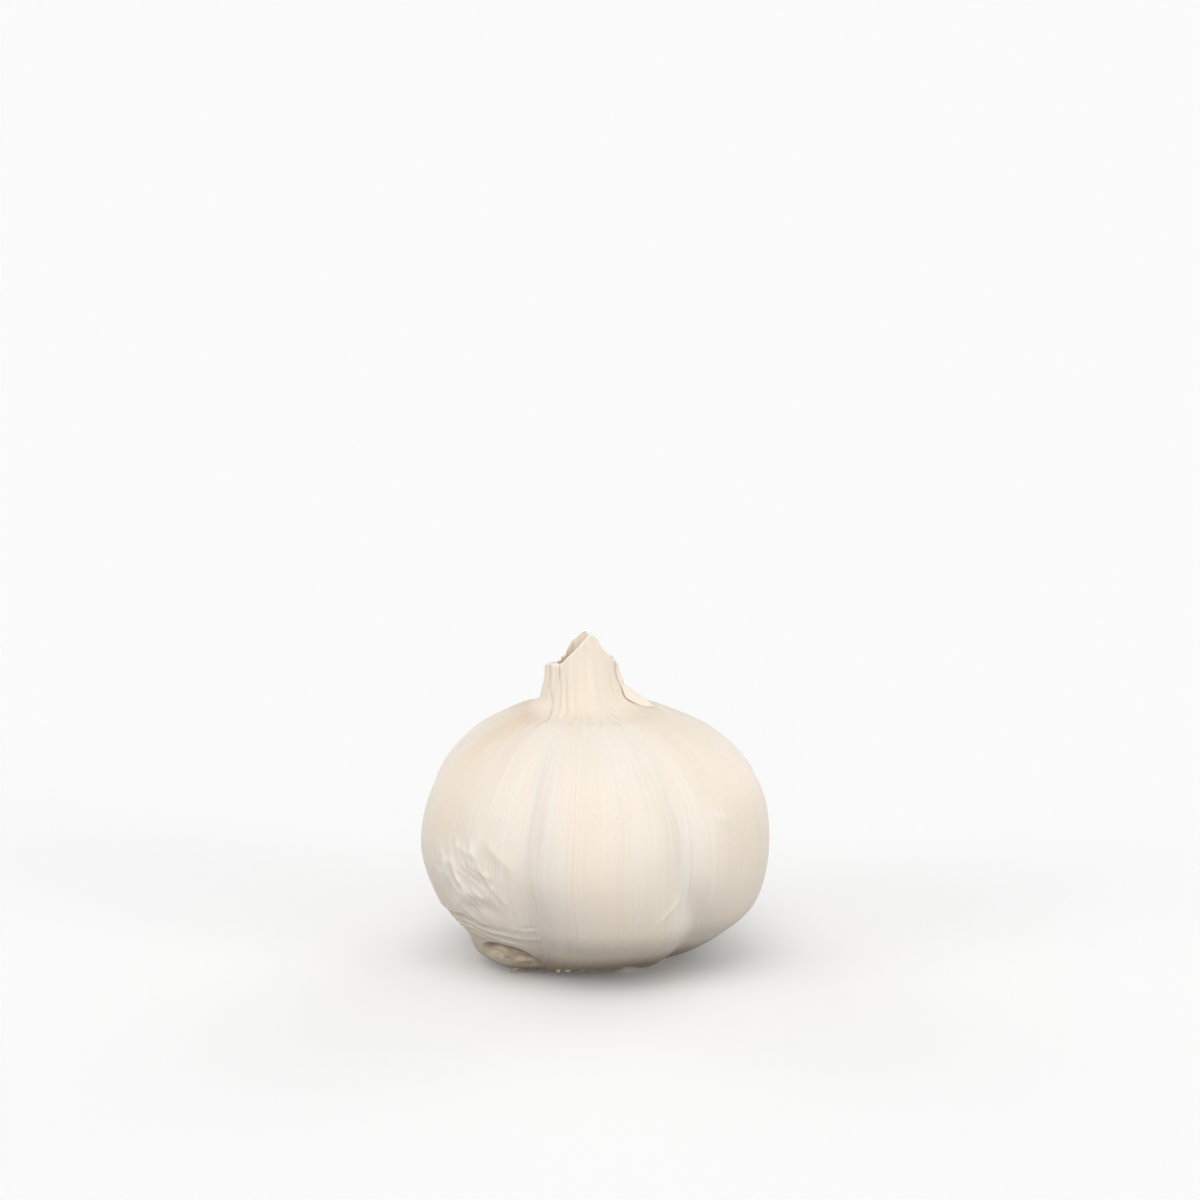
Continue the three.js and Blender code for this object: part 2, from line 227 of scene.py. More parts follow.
# Depth of the neck's folds: a cosine round the neck whose phase runs unevenly, weaker at the flat front
def pleatDepth(azimuth):
    turn = np.radians(azimuth)
    front = 0.5 + 0.5 * np.cos(turn - math.radians(pleats["flatSide"]))
    uneven = 0.7 + 0.3 * np.sin(3 * turn + 2)
    strength = mix(1, pleats["frontShare"], smooth(front, *pleats["frontFrom"])) * uneven
    phase = pleats["count"] * turn + 1.2 * np.sin(2 * turn + 1) + 0.6 * np.sin(5 * turn)
    return pleats["depth"] * strength * (1 - np.cos(phase))


# A point of the skin at an azimuth and a row: a circle round the leaning middle, flattened in the neck, less
# the furrows, the tear and the pleats, plus the fine relief. inset moves it inwards. Millimetres.
def skinPoint(azimuth, row, inset=0.0, relief=None):
    f = bulbForm
    azimuth, row = np.broadcast_arrays(np.asarray(azimuth, float), np.asarray(row, float))
    radiusShare, heightShare, lean, furrowShare = outlineAt(row)
    depth, foot = cloveAt(azimuth, heightShare * f["shoulder"])[:2]
    bump = bell(fromFront(azimuth), f["bumpAzimuth"], f["bumpHalf"]) * band(row, *f["bumpRows"])
    level = heightShare * f["shoulder"] - foot * band(row, *f["footRows"]) - f["bumpDrop"] * bump
    height = level + (rimHeight(azimuth) - f["neckLow"]) * smooth(row, f["neckRow"], lastRow)
    tipShare = np.maximum(0, height - f["neckLow"]) / (f["neckTip"] - f["neckLow"])
    radius = (radiusShare * f["radius"] - furrowShare * depth) * (1 - f["tipNarrowing"] * tipShare)
    torn, hollow = tearShares(azimuth, height)[:2]
    radius = radius - (tear["depth"] * torn + tear["hollowDepth"] * hollow) * smooth(row, *tear["rows"])
    radius = radius - pleatDepth(azimuth) * smooth(height, *pleats["heights"])
    if relief is not None:
        radius = radius + relief(azimuth, row, height)
    depthShare = 1 - f["flatShare"] * smooth(height, f["flatFrom"], f["flatTo"])
    turn = np.radians(azimuth)
    x = lean + (radius - inset) * np.sin(turn)
    return np.stack([x, -(radius * depthShare - inset) * np.cos(turn), height], -1)


# Meshes from grids of points

# Two shares from 0 to 1 over a sheet: u by its columns and v by its rows
def sharesOver(piece):
    return np.meshgrid(np.linspace(0, 1, piece["columns"]), np.linspace(0, 1, piece["rows"]), indexing="ij")


# A mesh from vertices in millimetres and lists of faces, turned so that it holds a positive volume. values
# are its point attributes, one number or three for each vertex.
def buildMesh(name, vertices, faceSets, values):
    corners = np.concatenate([f[:, [0, k, k + 1]] for f in faceSets for k in range(1, f.shape[1] - 1)])
    a, b, c = (vertices[corners[:, k]] for k in range(3))
    if np.einsum("ij,ij->i", a, np.cross(b, c)).sum() < 0:
        faceSets = [f[:, ::-1] for f in faceSets]
    mesh = bpy.data.meshes.new(name)
    mesh.from_pydata((vertices * mm).tolist(), [], [face for f in faceSets for face in f.tolist()])
    mesh.polygons.foreach_set("use_smooth", np.ones(len(mesh.polygons), bool))
    for key, value in values.items():
        kind, field = ("FLOAT_VECTOR", "vector") if value.ndim > 1 else ("FLOAT", "value")
        attribute = mesh.attributes.new(key, kind, "POINT")
        attribute.data.foreach_set(field, np.ascontiguousarray(value, np.float32).ravel())
    mesh.update()
    return mesh


# A value for each point of a grid, from one that may be the same along a row or a column
def overGrid(value, points):
    return np.broadcast_to(value, points.shape[:2] + value.shape[2:])


# Quads between the rings of a grid: ring i to ring i + 1, and each ring's last point back to its first
def ringQuads(rows, columns):
    i, j = np.meshgrid(np.arange(rows - 1), np.arange(columns), indexing="ij")
    after = (j + 1) % columns
    corners = [i * columns + j, i * columns + after, (i + 1) * columns + after, (i + 1) * columns + j]
    return np.stack(corners, -1).reshape(-1, 4)


# A closed surface of rings, with a fan round a middle point at each end
def ringMesh(name, points, values):
    rows, columns = points.shape[:2]
    flat = points.reshape(-1, 3)
    ends = np.stack([points[0].mean(0), points[-1].mean(0)])
    j = np.arange(columns)
    after = (j + 1) % columns
    start = np.full(columns, len(flat))
    last = (rows - 1) * columns
    fans = [np.stack([start, after, j], -1), np.stack([start + 1, last + j, last + after], -1)]
    everywhere = {}
    for key, value in values.items():
        grid = overGrid(value, points)
        closing = np.stack([grid[0].mean(0), grid[-1].mean(0)])
        everywhere[key] = np.concatenate([grid.reshape((-1,) + grid.shape[2:]), closing])
    return buildMesh(name, np.concatenate([flat, ends]), [ringQuads(rows, columns), *fans], everywhere)


# A thin sheet round a grid of middle points: half its thickness to either side along the crossed slopes,
# and closed along its four edges
def sheetMesh(name, points, thickness, values):
    slopes = np.cross(np.gradient(points, axis=0), np.gradient(points, axis=1))
    normals = slopes / np.maximum(np.linalg.norm(slopes, axis=-1, keepdims=True), 1e-9)
    offset = normals * np.broadcast_to(thickness, points.shape[:2])[..., None] / 2
    section = np.concatenate([points + offset, (points - offset)[:, ::-1]], axis=1)
    rows, columns = section.shape[:2]
    k = np.arange(columns // 2 - 1)
    across = np.stack([k, k + 1, columns - 2 - k, columns - 1 - k], -1)
    closed = [ringQuads(rows, columns), across[:, ::-1], across + (rows - 1) * columns]
    doubled = {}
    for key, value in values.items():
        grid = overGrid(value, points)
        doubled[key] = np.concatenate([grid, grid[:, ::-1]], axis=1).reshape((-1,) + grid.shape[2:])
    return buildMesh(name, section.reshape(-1, 3), closed, doubled)


# Many tapering tubes in one mesh: paths and radii hold a row for each tube, and a ring of points stands
# square to the path at each of its points
def tubeMesh(name, paths, radii, sides, values):
    count, steps = radii.shape
    along = np.gradient(paths, axis=1)
    along /= np.linalg.norm(along, axis=-1, keepdims=True)
    upwards = np.broadcast_to([0.1, 0.2, 1.0], along.shape)
    side = np.cross(along, upwards)
    side /= np.linalg.norm(side, axis=-1, keepdims=True)
    upright = np.cross(side, along)
    turn = np.arange(sides) * 2 * np.pi / sides
    ring = side[:, :, None] * np.cos(turn)[:, None] + upright[:, :, None] * np.sin(turn)[:, None]
    points = paths[:, :, None] + ring * radii[:, :, None, None]
    starts = np.arange(count)[:, None] * steps * sides
    quads = (ringQuads(steps, sides)[None] + starts[..., None]).reshape(-1, 4)
    firstRing = np.arange(sides)[None] + starts
    caps = [firstRing[:, ::-1], firstRing + (steps - 1) * sides]
    spread = {key: np.repeat(overGrid(value, radii).reshape(-1), sides) for key, value in values.items()}
    return buildMesh(name, points.reshape(-1, 3), [quads, *caps], spread)


# An object for a finished mesh, riding on the part's one body
def addPiece(mesh, finish, nodeName=None):
    piece = bpy.data.objects.new(mesh.name, mesh)
    bpy.context.scene.collection.objects.link(piece)
    mesh.materials.append(finish)
    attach(piece, "root")
    if nodeName:
        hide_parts(nodeName)
    print(mesh.name, len(mesh.polygons), "faces")


# The growth direction without a seam: cosine and sine of the azimuth, and the place along it
def grainOf(azimuth, along):
    turn = np.radians(azimuth)
    return np.stack(np.broadcast_arrays(np.cos(turn), np.sin(turn), along), -1)


# Shader building

# A socket's value. Sums, differences and products of values add Math nodes.
class Value:
    def __init__(self, finish, socket):
        self.finish, self.socket = finish, socket

    def maths(self, operation, first, second):
        return self.finish.node("ShaderNodeMath", dict(operation=operation), {0: first, 1: second})

    def __add__(self, other):
        return self.maths("ADD", self, other)

    def __sub__(self, other):
        return self.maths("SUBTRACT", self, other)

    def __rsub__(self, other):
        return self.maths("SUBTRACT", other, self)

    def __mul__(self, other):
        return self.maths("MULTIPLY", self, other)

    __radd__, __rmul__ = __add__, __mul__


# A colour as paint charts give it, for the shader
def paint(code):
    shares = [int(code[k:k + 2], 16) / 255 for k in (1, 3, 5)]
    return (*[s / 12.92 if s <= 0.04045 else ((s + 0.055) / 1.055) ** 2.4 for s in shares], 1.0)


# The nodes of a material or a world. node adds any node: its type, settings, and sockets' values or links.
class Finish:
    def __init__(self, owner):
        owner.use_nodes = True
        self.owner, self.nodes, self.links = owner, owner.node_tree.nodes, owner.node_tree.links

    def set(self, socket, value):
        if isinstance(value, Value):
            self.links.new(value.socket, socket)
        else:
            socket.default_value = value

    def node(self, kind, settings=None, sockets=None, output=0):
        node = self.nodes.new(kind)
        for key, value in (settings or {}).items():
            setattr(node, key, value)
        for key, value in (sockets or {}).items():
            self.set(node.inputs[key], value)
        return Value(self, node.outputs[output])

    def attribute(self, name, output="Fac"):
        return self.node("ShaderNodeAttribute", dict(attribute_name=name), output=output)

    def noise(self, place, scale, detail, roughness):
        sockets = {"Vector": place, "Scale": scale, "Detail": detail, "Roughness": roughness}
        return self.node("ShaderNodeTexNoise", None, sockets, "Fac")

    # Noise that follows the growth: across and along say how often it changes each way
    def grainNoise(self, across, along, detail, roughness=0.5):
        sockets = {0: self.attribute("grain", "Vector"), 1: (across, across, along)}
        place = self.node("ShaderNodeVectorMath", dict(operation="MULTIPLY"), sockets)
        return self.noise(place, 1.0, detail, roughness)

    # The same each way, through the piece
    def bodyNoise(self, scale, detail, roughness=0.5):
        return self.noise(self.node("ShaderNodeTexCoord", output="Object"), scale, detail, roughness)

    def step(self, value, start, end):
        sockets = {"Value": value, "From Min": start, "From Max": end}
        return self.node("ShaderNodeMapRange", dict(interpolation_type="SMOOTHSTEP"), sockets, "Result")

    # Colours over one another: the lowest, then a share and a colour for each layer, whose share is clamped
    def layered(self, colours, lowest, *layers):
        base = paint(colours[lowest])
        for share, name in layers:
            sockets = {0: share, 6: base, 7: paint(colours[name])}
            base = self.node("ShaderNodeMix", dict(data_type="RGBA"), sockets, 2)
        return base

    def done(self, shader="Principled BSDF", **sockets):
        for key, value in sockets.items():
            self.set(self.nodes[shader].inputs[key.replace("_", " ")], value)
        return self.owner

    # The finished material: its colour, its roughness, and a relief with its depth in metres and its strength
    def finished(self, base, roughness, relief, depth, strength):
        bump = self.node("ShaderNodeBump", None, {"Height": relief, "Distance": depth, "Strength": strength})
        return self.done(Base_Color=base, Roughness=roughness, Normal=bump)


def newFinish(name):
    return Finish(bpy.data.materials.new(name))


# The bulb's skin: all the cloves in their tight paper, with the neck's outer sheath

skin = dict(
    columns=550, crowding=0.45, crowdedAt=-30.0,  # the columns stand closer round this azimuth
    ringsPerRow=[2, 4, 6, 16, 22, 30, 24, 18, 14, 8, 7, 6, 7, 7],
    wall=0.5, cutLift=0.4, edgeShare=0.35, pocketFloor=45.0, pocketRows=[14, 13.65, 13.2, 12.7, 12.2],
    # lifts of the fine relief in millimetres
    veins=0.04, lumps=0.13, neckFibres=0.03, fan=0.1, fringe=0.11, furrowCrease=0.6, tearFolds=0.28,
    hollowLumps=0.34,
    # noises: cells round the bulb, cells along it, seed
    noises=dict(
        veins=(110, 5, 1), fineVeins=(190, 7, 2), lumps=(16, 7, 3), neckFibres=(150, 4, 4), fan=(60, 3, 5),
        hollow=(52, 70, 6), fringe=(150, 40, 7), cutEdge=(90, 1, 8), tearFolds=(60, 1, 10),
        uneven=(46, 12, 11),
    ),
    # bands of rows and of heights: where each sets in, is full, starts to fade and ends
    bodyRows=(2.5, 5, 9, 11), shoulderRows=(6.6, 8.6, 9.6, 10.6), foldHeights=(5.8, 7, 10.0, 10.7),
    fanHeights=(38.5, 41.2, 42.4, 44), fringeHeights=(40.7, 41.1, 41.6, 42.6),
    # creases: from azimuth and height, to azimuth and height, half width and lift in millimetres
    creases=[
        (-40.5, 25.5, -44.5, 20.3, 0.7, 0.24), (-53, 23, -49, 18.4, 0.7, 0.26),
        (-49, 18.4, -46, 15.6, 0.8, 0.26), (-46, 15.6, -56, 12, 0.9, 0.2),
        (-43.5, 20.8, -36, 18.9, 0.5, 0.2), (-42, 18.4, -36.5, 17.2, 1.3, -0.2),
        (-38, 24.6, -28, 20.6, 0.9, 0.22), (-49, 15.4, -37.5, 15.6, 1, 0.24),
        (-46, 13.6, -35.5, 13.3, 1.3, -0.2), (-55, 17.5, -51, 13.5, 1.2, -0.18),
        (-60, 18, -58, 12.6, 0.6, 0.16), (-67, 17, -63, 11.8, 0.4, 0.12), (-71, 16, -67, 11.8, 0.35, 0.1),
        (-49, 24, -46.5, 20, 1.1, -0.14), (-34, 22.5, -31.5, 16, 1.8, -0.18), (-33, 30, -38, 26, 0.5, 0.12),
        (-44, 23.6, -41, 20.9, 0.3, 0.16), (-52, 21, -47.5, 16.4, 0.35, 0.16),
        (-44.5, 16.9, -39, 14.9, 0.35, 0.15), (-64, 20, -61, 14, 0.3, 0.12),
        (-57.5, 22, -55, 17, 0.35, 0.12), (-36, 17.2, -31, 14.4, 0.4, 0.12),
        (-38, 40.7, -42.5, 36, 0.3, 0.14), (-35, 39.5, -39.5, 34.5, 0.6, -0.12),
        (25, 35.3, 28.5, 27.5, 1.5, -0.42), (28.5, 27.5, 31.5, 20, 0.9, -0.25),
        (30, 32.2, 27, 31.2, 0.9, -0.3), (41, 29.6, 48, 27.2, 0.8, 0.25), (38.5, 31.5, 46, 29.8, 0.7, -0.2),
        (20, 12, 30, 16.2, 0.35, 0.16), (-19, 37.6, -21.5, 31, 0.28, 0.2),
        (-21.5, 31, -22.5, 25, 0.35, 0.14), (-39.5, 38.4, -39, 30, 0.35, 0.18),
        (-29, 37, -31, 29, 2.6, -0.42), (-43, 39.5, -47, 34, 0.22, 0.1), (-34, 40.2, -38.5, 38.8, 0.25, 0.1),
        (21, 37.5, 25, 33, 0.3, 0.16), (26.5, 31.6, 31, 22, 0.3, 0.16), (36, 36, 41, 31, 0.25, 0.08),
        (45, 30, 50, 26, 0.25, 0.14), (31, 23, 28.5, 14, 0.4, 0.12), (48, 31, 54, 23, 0.35, 0.12),
        (-22, 26, -20.5, 15, 0.4, 0.14),
    ],
    # folds of the neck, the same way
    neckFolds=[
        (-66, 50, -60, 46.4, 0.26, -0.8), (-60, 46.4, -46, 43.6, 0.15, -0.5),
        (-46, 43.6, -36, 41.4, 0.15, -0.4), (-36, 41.4, -42, 40.2, 0.2, -0.3),
        (-38, 50, -36, 46.8, 0.17, -0.6), (-50, 49.5, -48, 45, 0.35, 0.2), (-30, 48, -27, 41.3, 0.3, 0.16),
        (-24, 47, -21, 41.2, 0.28, -0.2), (24, 46, 30, 42.2, 0.16, -0.1), (12, 53, 18, 47.5, 0.5, 0.12),
        (-84, 49.5, -76, 43, 0.25, -0.4), (-12, 45, -12, 41.4, 0.25, -0.08), (42, 46.5, 46, 42, 0.3, 0.16),
        (-33, 46.5, -31, 41.6, 0.2, -0.2), (52, 47.5, 54, 43, 0.25, -0.15),
    ],
    crumple=dict(
        azimuth=-47.0, height=18.0, halfWidth=9.0, halfHeight=9.5, fullShare=0.45, warp=0.6, warpCell=3,
        # slant in degrees, width, length, lift in millimetres
        ridges=[(30, 1.8, 7.5, 0.22), (50, 1.5, 6.5, 0.15), (-12, 0.9, 4.5, 0.05), (68, 0.7, 2.6, 0.03)],
    ),
    # how strongly each mark shows in the colour. The marks in the fan's and the fringe's valleys and inside
    # the neck's pocket are painted shade, and the one on the creases' ridges is a painted highlight
    marks=dict(
        furrowPale=0.9, crumplePale=0.5, shoulderPale=0.7, creaseHighlight=0.8, fan=0.12, fringeShade=0.35, pocket=0.8,
        shoulderTan=0.3, lowTan=0.14,
    ),
    # patterns: changes across and along the growth, detail, roughness, and where they set in and are full
    patterns=dict(
        patches=(2.4, 1.8, 3, 0.5, 0.4, 0.62), smears=(14, 5, 3, 0.6, 0.45, 0.68),
        streaks=(44, 1.3, 4, 0.65, 0.4, 0.64), threads=(130, 3.5, 3, 0.6, 0.56, 0.68),
        flecks=(60, 55, 3, 0.6, 0.62, 0.72),
    ),
    # The dark olive paints shade at the foot and the brown paints shade under the tear's lip. The tan also
    # paints shade in the folds and the pocket, and the thread colour paints a highlight on the ridges.
    colour=dict(
        cream="#f5e6d2", white="#f6eee4", threadAndHighlight="#fcf6ed", tan="#dfc39b", brown="#7d5a3a", torn="#ece0c6",
        hollow="#c9a878", foot="#6f5f44", edge="#fdf6ec",
    ),
)


# The lift of a list of creases: each is rounded, along a straight line over azimuth and height, and lowest
# at its ends
def creaseRelief(azimuth, height, radius, creases):
    arc = np.radians(radius)  # millimetres of the skin for each degree
    turned = fromFront(azimuth)
    relief = 0
    for fromAzimuth, fromHeight, toAzimuth, toHeight, width, lift in creases:
        x, y = (turned - fromAzimuth) * arc, height - fromHeight
        dx, dy = (toAzimuth - fromAzimuth) * arc, toHeight - fromHeight
        along = np.clip((x * dx + y * dy) / (dx * dx + dy * dy), 0, 1)
        away = np.hypot(x - along * dx, y - along * dy)
        relief = relief + lift * np.exp(-(away / width) ** 1.5) * (1 - 0.55 * np.abs(2 * along - 1) ** 3)
    return relief


# Share of the crumpled patch: full in the middle of an oval on the skin, with the place in it in millimetres
def crumpleZone(azimuth, height):
    c = skin["crumple"]
    x = (fromFront(azimuth) - c["azimuth"]) * math.radians(bulbForm["radius"])
    y = height - c["height"]
    return 1 - smooth(np.hypot(x / c["halfWidth"], y / c["halfHeight"]), c["fullShare"], 1), x, y


# The crumpled skin at the lower left: sharp ridges where a warped noise is near zero, in several slanting
# directions. Gives the lift and the share of being on a ridge, which the finish lightens as a painted
# highlight.
def crumpleRelief(azimuth, height):
    c = skin["crumple"]
    zone, x, y = crumpleZone(azimuth, height)
    cellX, cellY = x / c["warpCell"], y / c["warpCell"]
    warpX = x + c["warp"] * planeNoise(cellX + 9, cellY, 11)
    warpY = y + c["warp"] * planeNoise(cellX, cellY + 5, 12)
    relief, ridgeHighlight = 0, 0
    for number, (slant, size, length, lift) in enumerate(c["ridges"]):
        turn = math.radians(slant)
        across = warpX * math.cos(turn) + warpY * math.sin(turn)
        along = warpY * math.cos(turn) - warpX * math.sin(turn)
        noise = planeNoise(across / size + 20, along / length + 20, 13 + number)
        sharp = np.clip(1 - 3 * np.abs(noise), -0.4, 1)
        relief = relief + lift * sharp ** 2 * np.sign(sharp)
        ridgeHighlight = np.maximum(ridgeHighlight, np.maximum(0, sharp) ** 3 * lift / c["ridges"][0][3])
    return relief * zone, ridgeHighlight * zone


# Full at the front, and nothing from the sides on
def frontShare(azimuth):
    return smooth(np.cos(np.radians(azimuth)), 0.6, 0.95)


# Share of being on one of the fold lines below the tear: sharp ridges where a wavy phase that runs with the
# height passes nothing. They lie closer at the left, where they meet.
def tearFoldShare(azimuth, height):
    turned = fromFront(azimuth)
    spread = 3.6 - 1.9 * smooth(turned, -75, -25)
    waves = 0.5 * np.sin(np.radians(azimuth * 9)) + 0.3 * np.sin(np.radians(azimuth * 23))
    phase = (height - 10.4) * spread + waves + 0.5 * noiseOf(skin, "tearFolds", azimuth, 0.5)
    torn = tearShares(azimuth, height)[0]
    below = band(height, *skin["foldHeights"]) * smooth(torn, 0.05, 0.3) * smooth(turned, -84, -62)
    return (1 - np.abs(np.sin(phase))) ** 2 * below


# The small folds that fan out from the neck's foot, and the short fringe that they end in at the front: for
# each its zone and its noise
def fanFolds(azimuth, row, height):
    fan = noiseOf(skin, "fan", azimuth + 3 * np.sin(height), row / lastRow)
    fringe = noiseOf(skin, "fringe", azimuth, row / lastRow)
    fringeZone = band(height, *skin["fringeHeights"]) * frontShare(azimuth)
    return band(height, *skin["fanHeights"]), fan, fringeZone, fringe


# The skin's fine relief: veins and soft lumps that run with the growth, fibres in the neck, creases, the
# crumpled patch, a sharp line in each furrow, the fan and its fringe, and the folds and lumps at the tear
def skinRelief(azimuth, row, height):
    place = row / lastRow
    radius = outlineAt(row)[0] * bulbForm["radius"]
    body = band(row, *skin["bodyRows"])
    veins = noiseOf(skin, "veins", azimuth, place) + 0.7 * noiseOf(skin, "fineVeins", azimuth, place)
    relief = (skin["veins"] * veins + skin["lumps"] * noiseOf(skin, "lumps", azimuth, place)) * body
    relief += skin["neckFibres"] * noiseOf(skin, "neckFibres", azimuth, place) * smooth(row, 10, 12)
    relief += creaseRelief(azimuth, height, radius, skin["creases"] + skin["neckFolds"])
    relief += crumpleRelief(azimuth, height)[0]
    relief -= skin["furrowCrease"] * cloveAt(azimuth, height)[2] ** 4 * body
    fanZone, fan, fringeZone, fringe = fanFolds(azimuth, row, height)
    relief += skin["fan"] * fanZone * fan + skin["fringe"] * fringeZone * fringe
    relief += skin["tearFolds"] * tearFoldShare(azimuth, height)
    relief += skin["hollowLumps"] * tearShares(azimuth, height)[1] * noiseOf(skin, "hollow", azimuth, place)
    return relief


# What the finish reads at each point: the growth direction, and how much each mark shows there. within says
# where the surface lies inside the neck.
def skinMarks(azimuth, row, height, within):
    marks, place = skin["marks"], row / lastRow
    radius = outlineAt(row)[0] * bulbForm["radius"]
    low, pastRecess = row < 6, row > 1
    front, shoulder = frontShare(azimuth), band(row, *skin["shoulderRows"])
    torn, hollow, lipShade = (share * pastRecess for share in tearShares(azimuth, height))
    furrow = cloveAt(azimuth, height)[2] * (1 - smooth(row, 8.5, 10.5)) * smooth(height, 2, 10)
    pale = highest(marks["furrowPale"] * furrow ** 0.4, marks["shoulderPale"] * shoulder * front,
                   marks["crumplePale"] * crumpleZone(azimuth, height)[0])
    lifts = creaseRelief(azimuth, height, radius, skin["creases"])
    # Painted highlight: the share of being on a ridge of the crumples, the creases or the fold lines, which
    # the finish lightens
    ridgeHighlight = highest(crumpleRelief(azimuth, height)[1], marks["creaseHighlight"] * smooth(lifts, 0.08, 0.3),
                    tearFoldShare(azimuth, height))
    # Painted shade: tan in the valleys of the neck's pleats and folds, of the fan and of its fringe, and
    # inside the neck's pocket. The tan at the shoulder's sides and low down, added to the same share, is the
    # skin's own tone.
    pleatShade = pleatDepth(azimuth) / pleats["depth"] / 2 * smooth(height, *pleats["heights"])
    groove = smooth(-creaseRelief(azimuth, height, radius, skin["neckFolds"]), 0.08, 0.35)
    fanZone, fan, fringeZone, fringe = fanFolds(azimuth, row, height)
    fringeShade = fringeZone * smooth(-fringe, 0.1, 0.5)
    foldShadeAndTan = highest(pleatShade, groove, marks["fan"] * fanZone * (0.5 - 0.5 * fan), marks["fringeShade"] * fringeShade)
    uneven = (0.8 + 0.9 * noiseOf(skin, "uneven", azimuth, place)) * (1 - 0.35 * np.sin(np.radians(azimuth)))
    foldShadeAndTan = foldShadeAndTan + marks["pocket"] * within + marks["shoulderTan"] * shoulder * (1 - front) * uneven
    foldShadeAndTan = foldShadeAndTan + marks["lowTan"] * (1 - smooth(height, 4, 17)) * low
    # Painted shade: the skin darkens towards its foot, where it comes close to the floor
    foot = (1 - smooth(height, 2.6, 7)) * (1 - 0.55 * torn) * (1 - 0.35 * hollow) * low
    return dict(
        grain=grainOf(azimuth, place), foldShadeAndTan=np.clip(foldShadeAndTan, 0, 1), torn=torn, hollow=hollow, lipShade=lipShade,
        foot=foot, pale=pale, ridgeHighlight=ridgeHighlight, neck=smooth(row, 9.3, 11),
    )


def skinFinish():
    finish = newFinish("garlicSkin")
    patches, smears, streaks, threads, flecks = (
        finish.step(finish.grainNoise(*numbers[:4]), *numbers[4:]) for numbers in skin["patterns"].values())
    fibres = finish.grainNoise(90, 1.6, 4, 0.65)
    freckles = finish.step(finish.bodyNoise(420, 3), 0.68, 0.78)
    mottle = finish.step(finish.bodyNoise(560, 4, 0.7), 0.42, 0.66)
    names = ("foldShadeAndTan", "torn", "hollow", "foot", "neck", "cutFace", "pale", "lipShade", "ridgeHighlight")
    foldShadeAndTan, torn, hollow, foot, neck, cutFace, pale, lipShade, ridgeHighlight = (finish.attribute(key) for key in names)
    calm = 1 - neck * 0.45
    base = finish.layered(
        skin["colour"], "cream",
        (pale * (0.55 + smears * 0.4) + patches * 0.3 + streaks * 0.2 * calm + neck * 0.15, "white"),
        (threads * (0.38 + pale * 0.22) * calm + flecks * 0.4, "threadAndHighlight"),
        (finish.step(fibres, 0.52, 0.7) * 0.22 * calm + freckles * 0.2, "tan"),
        # painted shade in the folds and the pocket, with the skin's own tan at the shoulder and low down
        (foldShadeAndTan * (0.5 + streaks * 0.4), "tan"),
        (torn * 0.6, "torn"),
        (hollow * (0.15 + mottle * 0.65), "hollow"),
        (lipShade * 0.75, "brown"),
        # painted shade towards the foot
        (foot * (0.65 + fibres * 0.35), "foot"),
        # painted highlight on the ridges
        (ridgeHighlight * 0.75, "threadAndHighlight"),
        (cutFace, "edge"),
    )
    height = fibres * 0.8 + threads * 0.25 + finish.bodyNoise(700, 5, 0.6) * 0.3 + hollow * mottle * 0.8
    roughness = 0.36 + fibres * 0.16 + torn * 0.08 - ridgeHighlight * 0.1
    finish.done(Subsurface_Weight=0.08, Subsurface_Scale=0.001)
    return finish.finished(base, roughness, height, 0.00016, 0.6)


# Rings up the outside to the rim, one on the cut face, and a few down into the neck's pocket
def makeSkin():
    s = skin
    turn = np.arange(s["columns"])[None] * 2 * np.pi / s["columns"]
    azimuth = s["crowdedAt"] + np.degrees(turn - s["crowding"] * np.sin(turn))
    rows = [i + np.arange(count) / count for i, count in enumerate(s["ringsPerRow"])]
    rows = np.concatenate([*rows, [lastRow]])[:, None]
    inRows = np.array(s["pocketRows"])[:, None]
    outside = skinPoint(azimuth, rows, relief=skinRelief)
    inside = skinPoint(azimuth, inRows, s["wall"], relief=skinRelief)
    inside[-1, :, 2] = s["pocketFloor"]
    lifted = s["cutLift"] * (0.7 + 0.3 * noiseOf(skin, "cutEdge", azimuth, 0.5))
    inside[0, :, 2] += lifted[0]
    edge = mix(outside[-1:], inside[:1], s["edgeShare"])
    edge[..., 2] += s["edgeShare"] * lifted
    points = np.concatenate([outside, edge, inside])
    allRows = np.concatenate([rows, [[lastRow]], inRows])
    pastRim = np.arange(len(points))[:, None] - len(rows)
    values = skinMarks(azimuth, allRows, points[..., 2], pastRim >= 0)
    values["cutFace"] = np.abs(pastRim) <= 1
    addPiece(ringMesh("bulbSkin", points, values), skinFinish(), "bulb")


makeSkin()


# The sheaths inside the cut neck: one dried sheet, rolled up inwards from the front left, round the back

innerSheaths = dict(
    start=-62.0, turns=2.6,  # azimuth where the sheet starts, and how often it goes round
    outer=0.88, inner=0.3,  # share of the neck's own width at its start and at its end
    columns=420, rows=16, middle=1.8, thickness=0.2, foot=44.9,
    # how far left the back's tip lies, how much lower, and the band of azimuths that is the back
    backShift=0.24, backBelow=0.4, backAzimuths=(35, 100, 205, 240),
    below=(0.1, 1.1), startBelow=1.2,  # millimetres below the cut: outside and inside, and where it starts
    ragged=0.09, wave=0.06, noises=dict(wave=(11, 2, 21), ragged=(60, 9, 22), fineRagged=(150, 9, 23)),
    colour=dict(tan="#f6e3ca", pale="#fff3e3", brown="#cfa070"),
)


